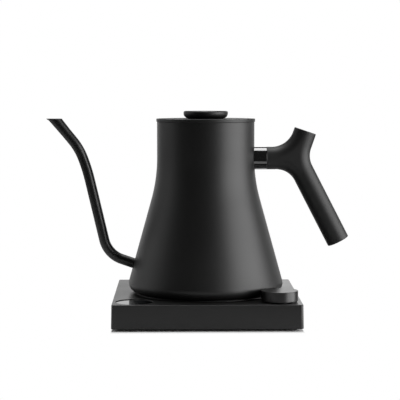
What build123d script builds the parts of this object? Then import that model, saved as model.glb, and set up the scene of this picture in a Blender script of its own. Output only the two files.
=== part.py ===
"""Gooseneck electric kettle on a square heating base.

Row frame, millimetres: +Z up, origin at the centre of the base's foot plane, +X towards the handle,
-X towards the spout, -Y towards the side that holds the display and the dial.
"""

from build123d import *
import math
import os

# ---------------------------------------------------------------- driving dimensions
# Heating base
BASE_WIDTH = 175.0        # square, at the lower edge
BASE_DRAFT = 1.1          # degrees that the side walls lean in
BASE_CORNER_R = 3.0
BASE_Z0 = 2.3             # lower edge of the housing
BASE_TOP = 24.3           # the surface the vessel stands on
BASE_WALL = 2.2
PLINTH_WIDTH = 164.4
PLINTH_Z0 = 0.8
FOOT_WIDTH = 144.4        # outside of the rubber foot's square ring
FOOT_BAND = 7.0
CORNER_X = 66.8           # centre of the display (-X) and of the dial (+X)
CORNER_Y = -66.0
DISPLAY_R = 17.0
DISPLAY_SUNK = 0.6        # the window lies this far below the top
DISPLAY_THICK = 1.0
DIAL_R = 16.9
DIAL_Z0 = 25.3
DIAL_TOP = 34.7
DIAL_TRAVEL = 0.6         # how far it presses down
SHAFT_R = 3.0

# Vessel
WALL = 0.8
NECK_R = 46.6
CONE_ANGLE = 15.46        # degrees off the vertical
CONE_REF = (54.14, 106.6)  # a point (radius, height) on the straight cone
NECK_BEND_R = 151.0       # long flare between neck and cone
FOOT_BEND_R = 8.5
SHELL_Z0 = 25.0
SHELL_TOP = 188.0
SHELL_OPENING_R = 60.0
FLOOR_Z = 46.0            # top of the vessel's inner floor
FOOT_R = 67.5             # outer radius of the ring the vessel stands on

# Cordless connector, all on the Z axis
TOWER_R = 16.6
TOWER_TOP = 37.2
TOWER_FLANGE_R = 23.0
SOCKET_R = 17.6
SOCKET_OUTER_R = 21.0
SOCKET_CEILING = 38.2
SOCKET_TOP = 42.0
RING_RADII = (7.6, 12.0)  # mean radii of the two contact rings
RING_HALF = 0.4
SLOT_HALF = 1.1           # half the width of a ring's slot
SLOT_FLOOR = 27.6
PIN_R = 2.2
PIN_SLOT_R = 2.9
TOWER_SCREWS_AT = (20.0, 3, 30.0)  # radius, number and first angle

# Spout, in the XZ plane
SPOUT_R = 4.9
SPOUT_BORE_R = 4.1
SPOUT_TIP_Z = 191.0
SPOUT_POINTS = [(-133.2, 177.4), (-121.1, 162.6), (-113.5, 142.7), (-94.3, 60.6), (-60.0, 48.8)]
SPOUT_BENDS = [60.0, 170.0, 26.0]
LIP_LINE = [(0.0, 0.0), (19.6, 0.55), (26.0, 2.55)]  # trumpet at the tip: way past the first point, swell
LIP_BEND_R = 6.0

# Handle, in the XZ plane
HANDLE_R = 10.8
HUB = (86.5, 153.2)       # where the three arms' axes meet
ARM_START_X = 58.3        # end of the collar
STUB_ANGLE = 19.0         # degrees off the vertical
STUB_LENGTH = 27.8
GRIP_ANGLE = 27.3
GRIP_LENGTH = 90.0
BEND_ARM_STUB = 22.0
BEND_STUB_GRIP = 20.6
BEND_GRIP_ARM = 19.9
TANG_R = 5.0
TANG_START_X = 50.0
TANG_END_X = 79.0

# Lid
LID_R = 47.25
LID_TOP = 191.0
LID_SKIN = 0.8
PLUG_R = 44.6
PLUG_Z0 = 172.0
PLUG_CEILING = 186.8
PLUG_WALL = 3.4
GROOVE_Z = (178.0, 181.6)
GROOVE_DEPTH = 1.4
KNOB_R = 21.2
KNOB_FOOT_R = 16.2
KNOB_TOP = 198.3
KNOB_BRIM = 2.1           # from its top to its widest
LID_SCREW_R = 2.0
LID_HOLE_R = 2.2

FIT = 0.05                # radial play between pieces that are assembled for good
TOUCH = 0.02              # between faces that rest on each other
FREE = 0.3                # play between pieces that move past each other


# ---------------------------------------------------------------- helpers
def ring(outer, inner, z0, z1, x=0.0, y=0.0):
    """An upright tube from z0 to z1."""
    body = Cylinder(outer, z1 - z0, align=(Align.CENTER, Align.CENTER, Align.MIN))
    if inner:
        body -= Cylinder(inner, z1 - z0, align=(Align.CENTER, Align.CENTER, Align.MIN))
    return Pos(x, y, z0) * body


def block(x0, x1, y0, y1, z0, z1):
    """A box between two corners."""
    box = Box(x1 - x0, y1 - y0, z1 - z0, align=(Align.MIN, Align.MIN, Align.MIN))
    return Pos(x0, y0, z0) * box


def rounded_slab(width, corner, z0, z1, taper=0.0):
    """A square plate with rounded vertical edges, centred on the Z axis."""
    with BuildPart() as slab:
        with BuildSketch(Plane.XY.offset(z0)):
            RectangleRounded(width, width, corner)
        extrude(amount=z1 - z0, taper=taper)
    return slab.part


def turned(points):
    """The solid of revolution about Z of a closed outline of (radius, height) points."""
    outline = Plane.XZ * make_face(Polyline(*points, close=True))
    return revolve(outline, Axis.Z, 360)


def along(hub, angle, length, side=0.0):
    """A point at a length along an arm that leans angle degrees from +Z towards +X, offset to its right."""
    lean = math.radians(angle)
    return (hub[0] + length * math.sin(lean) + side * math.cos(lean),
            hub[1] + length * math.cos(lean) - side * math.sin(lean))


def meet(p, angle_p, q, angle_q):
    """Where two lines in the XZ plane cross, each given by a point and its lean from +Z towards +X."""
    ax, az = math.sin(math.radians(angle_p)), math.cos(math.radians(angle_p))
    bx, bz = math.sin(math.radians(angle_q)), math.cos(math.radians(angle_q))
    t = ((q[0] - p[0]) * bz - (q[1] - p[1]) * bx) / (ax * bz - az * bx)
    return (p[0] + t * ax, p[1] + t * az)


def rod_along(start, angle, length, radius):
    """A round bar in the XZ plane from a point, leaning angle degrees from +Z towards +X."""
    bar = Cylinder(radius, length, align=(Align.CENTER, Align.CENTER, Align.MIN))
    return Pos(start[0], 0, start[1]) * Rot(0, angle, 0) * bar


def bar_x(x0, x1, radius, z=HUB[1]):
    """A round bar along X at the handle's height."""
    return rod_along((x0, z), 90, x1 - x0, radius)


def wire(points, bend=2.5, radius=0.9):
    """An insulated lead: straight runs joined by tangent arcs."""
    path = FilletPolyline(*points, radius=bend)
    section = Plane(origin=path @ 0, z_dir=path % 0) * Circle(radius)
    return sweep(section, path)


# ---------------------------------------------------------------- vessel
def cone_radius(z, inset=0.0):
    """Radius of the straight cone at height z, taken in by inset."""
    lean = math.radians(CONE_ANGLE)
    return CONE_REF[0] + (CONE_REF[1] - z) * math.tan(lean) - inset / math.cos(lean)


def wall_path(inset):
    """The vessel's wall line, from its mouth down to its foot opening, taken in by inset."""
    neck = NECK_R - inset
    reach = (cone_radius(0, inset) - neck) / math.tan(math.radians(CONE_ANGLE))
    low = SHELL_Z0 + inset
    points = [(neck, SHELL_TOP), (neck, reach), (cone_radius(low, inset), low), (SHELL_OPENING_R, low)]
    return FilletPolyline(*points, radius=[NECK_BEND_R + inset, FOOT_BEND_R - inset])


def filled_wall(inset):
    """Everything within the vessel's wall line."""
    path = wall_path(inset)
    axis = Polyline(path @ 1, (0, SHELL_Z0 + inset), (0, SHELL_TOP), path @ 0)
    return revolve(Plane.XZ * make_face(path + axis), Axis.Z, 360)


def vessel_shell(spout_bar):
    outer, inner = wall_path(0), wall_path(WALL)
    edges = outer + inner + Line(outer @ 0, inner @ 0) + Line(outer @ 1, inner @ 1)
    shell = revolve(Plane.XZ * make_face(edges), Axis.Z, 360)
    return shell - spout_bar


def vessel_floor():
    low, high = FLOOR_Z - WALL, FLOOR_Z
    edge_low = cone_radius(low, WALL) - FIT
    edge_high = cone_radius(high, WALL) - FIT
    plate = turned([(0, low), (edge_low, low), (edge_high, high), (0, high)])
    return plate - ring(PROBE_SEAL_R, 0, low - 1, high + 1, *PROBE_AT)


def spout_path():
    return FilletPolyline(*[(x, 0, z) for x, z in SPOUT_POINTS], radius=SPOUT_BENDS)


def spout_lip(radius):
    """The trumpet at the tip, turned about the spout's own axis from the path's first point."""
    swell = [(radius + out, way) for way, out in LIP_LINE]
    line = FilletPolyline(*swell, radius=LIP_BEND_R)
    axis = Polyline(line @ 1, (0, swell[-1][1]), (0, 0), line @ 0)
    lip = revolve(Plane.XZ * make_face(line + axis), Axis.Z, 360)
    (x0, z0), (x1, z1) = SPOUT_POINTS[:2]
    return Pos(x0, 0, z0) * Rot(0, math.degrees(math.atan2(x0 - x1, z0 - z1)), 0) * lip


def spout_bar(radius):
    """The spout's volume at a radius, cut level at its tip."""
    path = spout_path()
    bar = sweep(Plane(origin=path @ 0, z_dir=path % 0) * Circle(radius), path)
    return bar + spout_lip(radius) - block(-170, 0, -20, 20, SPOUT_TIP_Z, 220)


# ---------------------------------------------------------------- heater and its cover
SPREADER_R = 52.0
SPREADER_Z0 = 42.8
HEATER_RING_R = 40.0
HEATER_TUBE_R = 3.2
HEATER_SWEEP = 300.0
HEATER_END_TURN = (360.0 - HEATER_SWEEP) / 2
PROBE_AT = (22.0, 18.0)
PROBE_SEAL_R = 4.6
PROBE_R = 2.6
CUTOUT_AT = (-27.6, -12.6)
COVER_LOW = 25.0
COVER_TOP = 27.0
COVER_RING_R = 57.5       # inner radius of the ring the vessel stands on
COVER_SCREW_AT = 52.0
COVER_SCREW_R = 1.5
COVER_HEAD_R = 3.0


def heater_end(turn):
    """Where an end of the heater tube lies, turn being its angle about Z."""
    return (HEATER_RING_R * math.cos(math.radians(turn)), HEATER_RING_R * math.sin(math.radians(turn)))


def heat_spreader():
    plate = ring(SPREADER_R, 0, SPREADER_Z0, FLOOR_Z - WALL)
    return plate - ring(PROBE_SEAL_R + 0.6, 0, SPREADER_Z0 - 1, FLOOR_Z, *PROBE_AT)


def heater_tube():
    """A ring with a gap about +X, pressed up against the heat spreader."""
    bar = Torus(HEATER_RING_R, HEATER_TUBE_R, major_angle=HEATER_SWEEP)
    return Pos(0, 0, SPREADER_Z0 - HEATER_TUBE_R - TOUCH) * Rot(0, 0, HEATER_END_TURN) * bar


def heater_terminals():
    """A flat tab that drops from each cold end of the heater tube."""
    tabs = []
    for away in (-1, 1):
        x, y = heater_end(away * HEATER_END_TURN)
        z = SPREADER_Z0 - HEATER_TUBE_R
        y0, y1 = sorted((y - away * 0.5, y - away * 5.0))
        tabs.append(block(x + 1.2, x + 2.0, y0, y1, z - 7.0, z + 1.6))
    return tabs


def temperature_probe():
    """A closed steel thimble that reaches through the floor into the water."""
    x, y = PROBE_AT
    tip = ring(PROBE_R, 0, SPREADER_Z0 - 8, FLOOR_Z + 4, x, y)
    tip = fillet(tip.edges().sort_by(Axis.Z)[-1], 1.6)
    return tip + ring(PROBE_R + 1.6, 0, SPREADER_Z0 - 3.4, SPREADER_Z0 - 0.6, x, y)


def probe_seal():
    x, y = PROBE_AT
    body = ring(PROBE_SEAL_R - FIT, PROBE_R + FIT, SPREADER_Z0 - 0.5, FLOOR_Z + 0.8, x, y)
    return body + ring(PROBE_SEAL_R + 1.4, PROBE_R + FIT, FLOOR_Z + 0.05, FLOOR_Z + 0.8, x, y)


def thermal_cutout():
    """A snap-action disc thermostat held against the heat spreader."""
    x, y = CUTOUT_AT
    can = ring(6.0, 0, SPREADER_Z0 - 2.4, SPREADER_Z0 - TOUCH, x, y)
    return can + ring(5.2, 0, SPREADER_Z0 - 9, SPREADER_Z0 - 2.4, x, y)


def screw_places(radius, count, first=90.0):
    return [(radius * math.cos(math.radians(first + 360 * k / count)),
             radius * math.sin(math.radians(first + 360 * k / count))) for k in range(count)]


def vessel_cover():
    """The moulded underside, with the ring the vessel stands on and the connector's opening."""
    hole, rim, edge = SOCKET_OUTER_R + 1.0, SHELL_OPENING_R - FREE, SHELL_Z0 - FIT
    body = turned([(hole, COVER_LOW), (COVER_RING_R, COVER_LOW), (COVER_RING_R, BASE_TOP),
                   (FOOT_R, BASE_TOP), (FOOT_R, edge), (rim, edge), (rim, COVER_TOP),
                   (hole + 2, COVER_TOP), (hole + 2, COVER_TOP + 5), (hole, COVER_TOP + 5)])
    for x, y in screw_places(COVER_SCREW_AT, 3):
        body -= ring(COVER_SCREW_R + 0.1, 0, COVER_LOW - 1, COVER_TOP + 3, x, y)
        body -= ring(COVER_HEAD_R + 0.2, 0, COVER_LOW - 1, COVER_LOW + 0.9, x, y)
    return body


def vessel_cover_screws():
    return [ring(COVER_SCREW_R, 0, 25.6, 34, x, y) + ring(COVER_HEAD_R, 0, 25.1, 25.85, x, y)
            for x, y in screw_places(COVER_SCREW_AT, 3)]


def screw_brackets():
    """Steel straps welded under the floor, tapped for the cover's screws."""
    straps = []
    for turn, (x, y) in zip((90, 210, 330), screw_places(COVER_SCREW_AT, 3)):
        top = FLOOR_Z - WALL - TOUCH
        foot = Pos(0, 0, 30) * Box(7, 8, 2, align=(Align.CENTER, Align.CENTER, Align.MIN))
        leg = Pos(3.9, 0, 30) * Box(0.8, 8, top - 30, align=(Align.CENTER, Align.CENTER, Align.MIN))
        strap = Pos(x, y, 0) * Rot(0, 0, turn) * (foot + leg)
        straps.append(strap - ring(COVER_SCREW_R + 0.1, 0, 29, 33, x, y))
    return straps


# ---------------------------------------------------------------- cordless connector
def vessel_socket():
    """The vessel's half of the connector: a cup that drops over the tower."""
    body = turned([(0, SOCKET_CEILING), (SOCKET_R, SOCKET_CEILING), (SOCKET_R, 26.2),
                   (SOCKET_OUTER_R, 26.2), (SOCKET_OUTER_R, 40.4), (23.6, 40.4),
                   (23.6, SOCKET_TOP), (0, SOCKET_TOP)])
    for part in socket_contacts():
        body -= part
    return body


def socket_contacts():
    """The centre pin and the two rings that carry the current."""
    low, high = 30.0, SOCKET_TOP - 0.6
    pin = ring(PIN_R, 0, 29.0, high)
    pin = fillet(pin.edges().sort_by(Axis.Z)[0], 1.4)
    return [pin] + [ring(r + RING_HALF, r - RING_HALF, low, high) for r in RING_RADII]


def base_tower():
    """The base's half of the connector, with a slot for the pin and for each ring."""
    body = ring(TOWER_R, 0, 15.0, TOWER_TOP)
    body = fillet(body.edges().sort_by(Axis.Z)[-1], 1.2)
    body += ring(TOWER_FLANGE_R, 0, 17.6, BASE_TOP - BASE_WALL - TOUCH)
    body -= ring(PIN_SLOT_R, 0, SLOT_FLOOR, TOWER_TOP + 1)
    for r in RING_RADII:
        body -= ring(r + SLOT_HALF, r - SLOT_HALF, SLOT_FLOOR, TOWER_TOP + 1)
    for leg in tower_contacts():
        body -= leg
    for x, y in screw_places(*TOWER_SCREWS_AT):
        body -= ring(1.4, 0, 17, 23, x, y)
    return body


def tower_contacts():
    """A brass leaf in each slot, with a leg down to its solder tag."""
    legs = []
    for r in (0.0, *RING_RADII):
        leaf = block(r - 0.9, r + 0.9, -2.0, 2.0, SLOT_FLOOR, SLOT_FLOOR + 1)
        legs.append(leaf + block(r - 0.9, r + 0.9, -0.4, 0.4, 11.5, SLOT_FLOOR))
    return legs


def tower_screws():
    return [ring(1.3, 0, 15.6, 21.6, x, y) + ring(2.5, 0, 14.4, 15.6, x, y)
            for x, y in screw_places(*TOWER_SCREWS_AT)]


# ---------------------------------------------------------------- handle
def handle_outline():
    """Three arms of one width, joined by tangent arcs, in the XZ plane."""
    r = HANDLE_R
    grip = 180 - GRIP_ANGLE
    arm_top, arm_low = (ARM_START_X, HUB[1] + r), (ARM_START_X, HUB[1] - r)
    stub_left, stub_right = along(HUB, STUB_ANGLE, STUB_LENGTH, -r), along(HUB, STUB_ANGLE, STUB_LENGTH, r)
    grip_right, grip_left = along(HUB, grip, GRIP_LENGTH, -r), along(HUB, grip, GRIP_LENGTH, r)
    upper = meet(arm_top, 90, stub_left, STUB_ANGLE)
    back = meet(stub_right, STUB_ANGLE, grip_right, grip)
    under = meet(arm_low, 90, grip_left, grip)
    sides = [FilletPolyline(arm_top, upper, stub_left, radius=BEND_ARM_STUB),
             FilletPolyline(stub_right, back, grip_right, radius=BEND_STUB_GRIP),
             FilletPolyline(grip_left, under, arm_low, radius=BEND_GRIP_ARM)]
    ends = [Line(stub_left, stub_right), Line(grip_right, grip_left), Line(arm_low, arm_top)]
    return make_face(Curve() + sides + ends)


STUB_BORE_R = 7.6
GRIP_BORE_R = 7.0
CAP_R = 8.6
CAP_DEPTH = 3.0
SET_SCREW_X = 68.0


def handle_grip():
    """The moulded handle: half-round sides, a flat web between its arms, cored where parts go in."""
    plate = extrude(Plane.XZ * handle_outline(), HANDLE_R, both=True)
    stub_end, grip_end = along(HUB, STUB_ANGLE, STUB_LENGTH), along(HUB, 180 - GRIP_ANGLE, GRIP_LENGTH)
    ends = [(ARM_START_X, HUB[1]), stub_end, grip_end]
    faces = plate.faces().filter_by(Axis.Y)
    long_edges = [e for face in faces for e in face.edges()
                  if all(math.dist(((e @ 0.5).X, (e @ 0.5).Z), end) > 1 for end in ends)]
    body = fillet(long_edges, HANDLE_R - 0.05)
    body -= bar_x(ARM_START_X - 1, TANG_END_X + 1, TANG_R + FIT)
    body -= rod_along(along(HUB, STUB_ANGLE, STUB_LENGTH + 1), STUB_ANGLE + 180, 21, STUB_BORE_R)
    body -= rod_along(along(HUB, STUB_ANGLE, STUB_LENGTH + 1), STUB_ANGLE + 180, 1 + CAP_DEPTH, CAP_R)
    body -= rod_along(along(HUB, 180 - GRIP_ANGLE, GRIP_LENGTH + 1), -GRIP_ANGLE, 72, GRIP_BORE_R)
    body -= rod_along(along(HUB, 180 - GRIP_ANGLE, GRIP_LENGTH + 1), -GRIP_ANGLE, 1 + CAP_DEPTH, CAP_R)
    return body - ring(2.1, 0, 130, 150, SET_SCREW_X)


def end_cap(bore):
    """A plug that closes a cored arm, its top face on the XY plane and its spigot below."""
    cap = ring(CAP_R - FIT, 0, -CAP_DEPTH + FIT, 0)
    cap = chamfer(cap.edges().sort_by(Axis.Z)[-1], 0.3)
    return cap + ring(bore - FIT, bore - 1.6, -CAP_DEPTH - 4, -CAP_DEPTH + FIT)


def stub_cap():
    x, z = along(HUB, STUB_ANGLE, STUB_LENGTH)
    return Pos(x, 0, z) * Rot(0, STUB_ANGLE, 0) * end_cap(STUB_BORE_R)


def grip_cap():
    x, z = along(HUB, 180 - GRIP_ANGLE, GRIP_LENGTH)
    return Pos(x, 0, z) * Rot(0, 180 - GRIP_ANGLE, 0) * end_cap(GRIP_BORE_R)


def counterweight():
    return rod_along(along(HUB, STUB_ANGLE, STUB_LENGTH - 19.5), STUB_ANGLE, 12.0, STUB_BORE_R - FIT)


def handle_collar(inside):
    """The bright collar between vessel and handle, with a blind bore for the tang."""
    bar = bar_x(30, ARM_START_X, HANDLE_R)
    return bar - inside - bar_x(TANG_START_X, ARM_START_X + 1, TANG_R + FIT)


def handle_tang():
    return bar_x(TANG_START_X, TANG_END_X, TANG_R) - ring(2.2, 0, 140, HUB[1] - TANG_R + 0.6, SET_SCREW_X)


def set_screw():
    """A socket grub screw that clamps the tang from under the arm."""
    body = ring(2.0, 0, HUB[1] - HANDLE_R + 0.8, HUB[1] - TANG_R + 0.5, SET_SCREW_X)
    key = Pos(SET_SCREW_X, 0, HUB[1] - HANDLE_R + 0.7) * extrude(RegularPolygon(1.15, 6), 2.4)
    return body - key


# ---------------------------------------------------------------- lid
VENT_R = 1.3
VENTS = [(30.0 * math.cos(math.radians(a)), 30.0 * math.sin(math.radians(a))) for a in (165, 180, 195)]


def lid_plate():
    """The pressed steel cap, with its vents towards the spout."""
    body = ring(LID_R, 0, SHELL_TOP + 0.2, LID_TOP)
    body = fillet(body.edges().sort_by(Axis.Z)[-1], 0.7)
    body -= ring(LID_R - LID_SKIN, 0, 0, LID_TOP - LID_SKIN)
    body -= ring(LID_HOLE_R, 0, 180, 200)
    for x, y in VENTS:
        body -= ring(VENT_R, 0, 180, 200, x, y)
    return body


def lid_core():
    """The moulded plug that insulates the cap and fills the mouth."""
    top, brim = LID_TOP - LID_SKIN, LID_R - LID_SKIN - FIT
    groove, bore = PLUG_R - GROOVE_DEPTH, PLUG_R - PLUG_WALL
    low, high = GROOVE_Z
    body = turned([(0, top), (brim, top), (brim, SHELL_TOP), (PLUG_R, SHELL_TOP), (PLUG_R, high),
                   (groove, high), (groove, low), (PLUG_R, low), (PLUG_R, PLUG_Z0), (bore, PLUG_Z0),
                   (bore, PLUG_CEILING), (0, PLUG_CEILING)])
    body -= ring(LID_HOLE_R, 0, 180, 200)
    for x, y in VENTS:
        body -= ring(VENT_R + 0.4, 0, 180, 200, x, y)
    return body


def lid_gasket():
    """The silicone lip that holds the lid in the mouth."""
    inner, mid, lip = PLUG_R - GROOVE_DEPTH + FIT, PLUG_R + 0.1, NECK_R - WALL - FREE
    low, high = GROOVE_Z[0] + FIT, GROOVE_Z[1] - FIT
    middle = (low + high) / 2
    return turned([(inner, low), (mid, low), (lip, middle - FREE), (lip, middle + FREE), (mid, high),
                   (inner, high)])


def lid_knob():
    """A flat disc that curves in towards the lid."""
    brim, foot = (KNOB_R, KNOB_TOP - KNOB_BRIM), (KNOB_FOOT_R, LID_TOP)
    crown_start = (KNOB_R - 1.5, KNOB_TOP)
    side = ThreePointArc(brim, (20.1, LID_TOP + 2.1), foot)
    crown = ThreePointArc(crown_start, (KNOB_R - 0.36, KNOB_TOP - 0.6), brim)
    rest = Polyline(foot, (0, LID_TOP), (0, KNOB_TOP), crown_start)
    body = revolve(Plane.XZ * make_face(side + crown + rest), Axis.Z, 360)
    return body - ring(LID_SCREW_R + FIT, 0, LID_TOP - 1, KNOB_TOP - 2.2)


def lid_screw():
    head_top = PLUG_CEILING - 1.0
    return ring(LID_SCREW_R, 0, head_top, KNOB_TOP - 2.6) + ring(3.7, 0, head_top - 2.2, head_top)


def lid_washer():
    return ring(5.2, LID_SCREW_R + FIT, PLUG_CEILING - 0.95, PLUG_CEILING)


# ---------------------------------------------------------------- heating base
BOSSES = [(-78.0, -38.0), (78.0, -38.0), (-78.0, 76.0), (78.0, 76.0)]
BOSS_R = 3.6
BASE_SCREW_R = 1.4
BASE_HEAD_R = 2.8
SEAT_R = 24.0             # shallow recess round the connector tower
SEAT_DEPTH = 0.6
GLAND_Z = 13.0
GLAND_R = 5.6
GLAND_FLANGE_R = 7.2
CORD_R = 3.6
SWITCH_X = 42.0
SWITCH_Z = 13.0
SWITCH_TRAVEL = 4.0
REAR_Y = BASE_WIDTH / 2
BUSHING_R = 4.6
PLUNGER_Z0 = 11.0
BOARD_TOP = 9.6


def base_housing():
    """The tapered upper casing, open underneath, with its bosses and its cut-outs."""
    body = rounded_slab(BASE_WIDTH, BASE_CORNER_R, BASE_Z0, BASE_TOP, BASE_DRAFT)
    top_edges = body.faces().sort_by(Axis.Z)[-1].edges()
    body = fillet(top_edges, 0.6)
    roof = BASE_TOP - BASE_WALL
    body -= rounded_slab(BASE_WIDTH - 2 * BASE_WALL, 2.0, BASE_Z0 - 1, roof, BASE_DRAFT)
    for x, y in BOSSES:
        body += ring(BOSS_R, 0, 4.4, roof, x, y)
        body -= ring(BASE_SCREW_R + FIT, 0, 4, 16, x, y)
    body -= ring(TOWER_R + 0.4, 0, roof - 1, BASE_TOP + 1)
    body -= ring(SEAT_R, 0, BASE_TOP - SEAT_DEPTH, BASE_TOP + 1)
    lens_low = BASE_TOP - DISPLAY_SUNK - DISPLAY_THICK - FIT
    body -= ring(DISPLAY_R + 0.2, 0, lens_low, BASE_TOP + 1, -CORNER_X, CORNER_Y)
    body -= ring(DISPLAY_R - 2.0, 0, roof - 1, BASE_TOP + 1, -CORNER_X, CORNER_Y)
    body -= ring(BUSHING_R + 0.2, 0, roof - 1, BASE_TOP + 1, CORNER_X, CORNER_Y)
    body -= rear_bar(0, GLAND_Z, GLAND_R + FIT, 78, REAR_Y + 3)
    body -= block(SWITCH_X - 5, SWITCH_X + 5, 80, REAR_Y + 3, SWITCH_Z - 2, SWITCH_Z + 2)
    for x, y in screw_places(*TOWER_SCREWS_AT):
        body -= ring(1.35, 0, roof - 1, roof + 0.8, x, y)
    return body


def rear_bar(x, z, radius, y0, y1):
    """A round bar along Y."""
    bar = Cylinder(radius, y1 - y0, align=(Align.CENTER, Align.CENTER, Align.MIN))
    return Pos(x, y0, z) * Rot(-90, 0, 0) * bar


def base_cover():
    """The plate that closes the base, with a plinth inset all round."""
    body = rounded_slab(BASE_WIDTH - 2 * BASE_WALL - 0.4, 2.0, BASE_Z0, BASE_Z0 + 2)
    body += rounded_slab(PLINTH_WIDTH, 3.0, PLINTH_Z0, BASE_Z0 + 0.5)
    body -= foot_outline(PLINTH_Z0 - 1, PLINTH_Z0 + 0.8, FIT)
    for x, y in BOSSES:
        body -= ring(BASE_SCREW_R + 0.2, 0, 0, 6, x, y)
        body -= ring(BASE_HEAD_R + 0.3, 0, 0, 2.7, x, y)
    return body


def foot_outline(z0, z1, play=0.0):
    """The rubber foot's square ring, grown by play on both sides."""
    outer = rounded_slab(FOOT_WIDTH + 2 * play, 6.0, z0, z1)
    return outer - rounded_slab(FOOT_WIDTH - 2 * FOOT_BAND - 2 * play, 4.0, z0 - 1, z1 + 1)


def base_foot():
    """The one-piece rubber ring that the base stands on."""
    return foot_outline(0.0, PLINTH_Z0 + 0.75)


def base_screws():
    return [ring(BASE_SCREW_R, 0, 2.6, 14, x, y) + ring(BASE_HEAD_R, 0, 1.0, 2.65, x, y) for x, y in BOSSES]


def display_lens():
    """The round window, set a little below the top, with a bevelled edge."""
    top = BASE_TOP - DISPLAY_SUNK
    lens = ring(DISPLAY_R, 0, top - DISPLAY_THICK, top, -CORNER_X, CORNER_Y)
    return chamfer(lens.edges().sort_by(Axis.Z)[-1], 0.25)


def display_panel():
    return block(-CORNER_X - 11, -CORNER_X + 11, CORNER_Y - 8.5, CORNER_Y + 8.5, 19.6, 22.4)


def display_board():
    board = block(-CORNER_X - 14, -CORNER_X + 14, CORNER_Y - 14, CORNER_Y + 14, 18.0, 19.6)
    chip = block(-CORNER_X - 4, -CORNER_X + 4, CORNER_Y - 4, CORNER_Y + 4, 16.6, 18.0)
    return board + chip


def dial_knob():
    """The round dial, hollow underneath, with a hub on the encoder's shaft."""
    body = ring(DIAL_R, 0, DIAL_Z0, DIAL_TOP)
    body = fillet(body.edges().sort_by(Axis.Z)[-1], 0.4)
    body = chamfer(body.edges().sort_by(Axis.Z)[0], 0.4)
    body -= ring(DIAL_R - 2.0, 5.4, DIAL_Z0 - 1, DIAL_TOP - 2.4)
    return Pos(CORNER_X, CORNER_Y, 0) * (body - shaft_bar(FIT, DIAL_Z0 - 1, 31.0))


def shaft_bar(play, z0, z1):
    """The encoder shaft's D section."""
    flat = block(-5, 5, SHAFT_R - 1.2 + play, 6, z0 - 1, z1 + 1)
    return ring(SHAFT_R + play, 0, z0, z1) - flat


def encoder_shaft():
    round_end = ring(SHAFT_R, 0, 13.8, 25.0)
    return Pos(CORNER_X, CORNER_Y, 0) * (round_end + shaft_bar(0, 25.0, 30.8))


def encoder_plunger():
    return ring(SHAFT_R - 0.3, 0, PLUNGER_Z0, 13.75, CORNER_X, CORNER_Y)


def encoder_body():
    """The rotary encoder's case and its threaded bushing."""
    body = Pos(CORNER_X, CORNER_Y, 8.6) * Box(13, 13, 7.4, align=(Align.CENTER, Align.CENTER, Align.MIN))
    body += ring(BUSHING_R, 0, 16.0, BASE_TOP + 0.2, CORNER_X, CORNER_Y)
    return body - ring(SHAFT_R + 0.15, 0, PLUNGER_Z0 - DIAL_TRAVEL - 0.4, 30, CORNER_X, CORNER_Y)


def encoder_board():
    return block(CORNER_X - 12, CORNER_X + 12, CORNER_Y - 10, CORNER_Y + 10, 7.0, 8.6)


def power_board():
    """The main circuit board on its four pillars."""
    low = BOARD_TOP - 1.6
    board = block(-52, 26, 30, 70, low, BOARD_TOP)
    for x in (-48, 22):
        for y in (33, 67):
            board += ring(2.4, 0, BASE_Z0 + 2 + FIT, low, x, y)
    return board


def power_relay():
    return block(-50, -31, 42, 57, BOARD_TOP + FIT, 21.4)


def step_down_transformer():
    """A small encapsulated supply with its winding proud of the core."""
    core = block(-26, -6, 36, 56, BOARD_TOP + FIT, 19.0)
    return core + block(-22, -10, 39, 53, 19.0, 21.2)


def filter_capacitor():
    can = ring(5.0, 0, BOARD_TOP + FIT, 21.0, 14, 40)
    return fillet(can.edges().sort_by(Axis.Z)[-1], 0.8)


def mains_terminal():
    body = block(-9, 9, 60, 68, BOARD_TOP + FIT, 18.4)
    for x in (-6, 0, 6):
        body -= ring(1.8, 0, 15.4, 20, x, 64)
    return body


def cord_gland():
    """The grommet in the rear wall that a mains cord passes through."""
    inner, outer = REAR_Y - 7.0, REAR_Y + 1.2
    body = rear_bar(0, GLAND_Z, GLAND_R, inner, outer)
    body += rear_bar(0, GLAND_Z, GLAND_FLANGE_R, REAR_Y + FIT, outer)
    body += rear_bar(0, GLAND_Z, GLAND_FLANGE_R, inner, REAR_Y - BASE_WALL - 0.9)
    return body - rear_bar(0, GLAND_Z, CORD_R, inner - 5, outer + 5)


def hold_switch():
    """The two-position slide switch's case behind the rear wall."""
    face = REAR_Y - BASE_WALL - 0.9
    body = block(SWITCH_X - 8, SWITCH_X + 8, face - 9, face, SWITCH_Z - 4, SWITCH_Z + 4)
    return body - block(SWITCH_X - 5.4, SWITCH_X + 5.4, face - 5.4, face + 5, SWITCH_Z - 2.2, SWITCH_Z + 2.2)


def hold_slider():
    """The button that slides along the rear wall's slot, at its off end."""
    x, shoulder = SWITCH_X - SWITCH_TRAVEL / 2, REAR_Y - 4.8
    foot = block(x - 2.8, x + 2.8, shoulder - 3.2, shoulder, SWITCH_Z - 1.9, SWITCH_Z + 1.9)
    nub = block(x - 1.8, x + 1.8, shoulder, REAR_Y + 1.4, SWITCH_Z - 1.6, SWITCH_Z + 1.6)
    for groove in (-0.9, 0.0, 0.9):
        nub -= block(x + groove - 0.15, x + groove + 0.15, REAR_Y + 1.1, REAR_Y + 2, 0, 30)
    return foot + nub


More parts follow.
